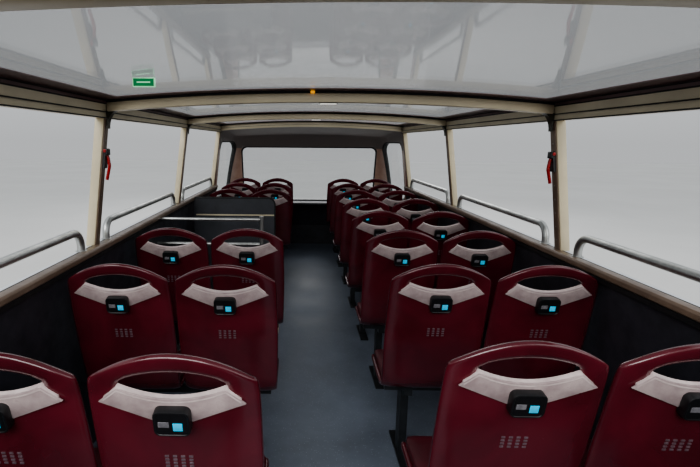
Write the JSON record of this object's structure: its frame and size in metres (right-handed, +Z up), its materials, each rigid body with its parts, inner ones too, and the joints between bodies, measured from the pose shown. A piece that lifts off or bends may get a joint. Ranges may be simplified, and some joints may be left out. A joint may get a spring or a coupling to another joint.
{
  "type": "open top double decker bus upper deck",
  "caption": "Upper deck of an open top sightseeing bus: glazed canopy on arched beams over the front, open rear, and moulded seats either side of an aisle.",
  "frame": {"origin": "below the middle of the deck, on the faces of the bolt pads that it stands on", "axes": "+Y to the front of the bus, +X its right side, +Z up"},
  "size_m": [2.55, 10.2498, 1.9448],
  "materials": {
    "steel_frame": "matt chassis paint",
    "floor_vinyl": "safety vinyl, fine grain",
    "body_paint": "gloss coach paint",
    "wall_lining": "dark laminate",
    "cream_aluminium": "satin powder coat",
    "cap_lining": "dark grey trim cloth",
    "seal_rubber": "matt",
    "roof_glass": "tinted",
    "window_glass": "clear",
    "stainless": "brushed",
    "seat_moulding": "satin, fine grain",
    "seat_insert": "satin",
    "seat_vinyl": "grained vinyl",
    "black_plastic": "fine texture",
    "knee_paint": "dark olive satin",
    "board_laminate": "smooth laminate",
    "red_plastic": "gloss",
    "sign_green": "blank face",
    "lamp_white": "opal diffuser"
  },
  "bodies": {
    "root": {"deck_frame": "steel_frame", "floor_panel": "floor_vinyl", "side_wall_right": "body_paint", "side_wall_left": "body_paint", "rear_wall": "body_paint", "front_panel": "body_paint", "front_cap": "body_paint", "lining_right": "wall_lining", "lining_left": "wall_lining", "rear_lining": "wall_lining", "front_lining": "wall_lining", "head_lining": "cap_lining", "sill_right": "cream_aluminium", "sill_left": "cream_aluminium", "rear_sill": "cream_aluminium", "cant_rail_right": "cream_aluminium", "cant_rail_left": "cream_aluminium", "posts_right": "cream_aluminium", "posts_left": "cream_aluminium", "roof_beams": "cream_aluminium", "header_beam": "cream_aluminium", "roof_seals": "seal_rubber", "window_rubbers": "seal_rubber", "roof_glass": "roof_glass", "windscreen": "window_glass", "quarter_glass": "window_glass", "knees": "knee_paint", "front_shelf": "wall_lining", "guard_rails_right": "stainless", "guard_rails_left": "stainless", "rear_guard_rail": "stainless", "seat_frames": "steel_frame", "seat_backs": "seat_moulding", "seat_pans": "seat_moulding", "seat_inserts": "seat_insert", "audio_units": "black_plastic", "seat_pads": "seat_vinyl", "stair_nosing": "cream_aluminium", "stair_board": "board_laminate", "stair_rails": "cream_aluminium", "hammer_holders": "black_plastic", "hammers": "red_plastic", "exit_sign": "sign_green", "ceiling_lamps": "lamp_white"}
  },
  "joints": []
}
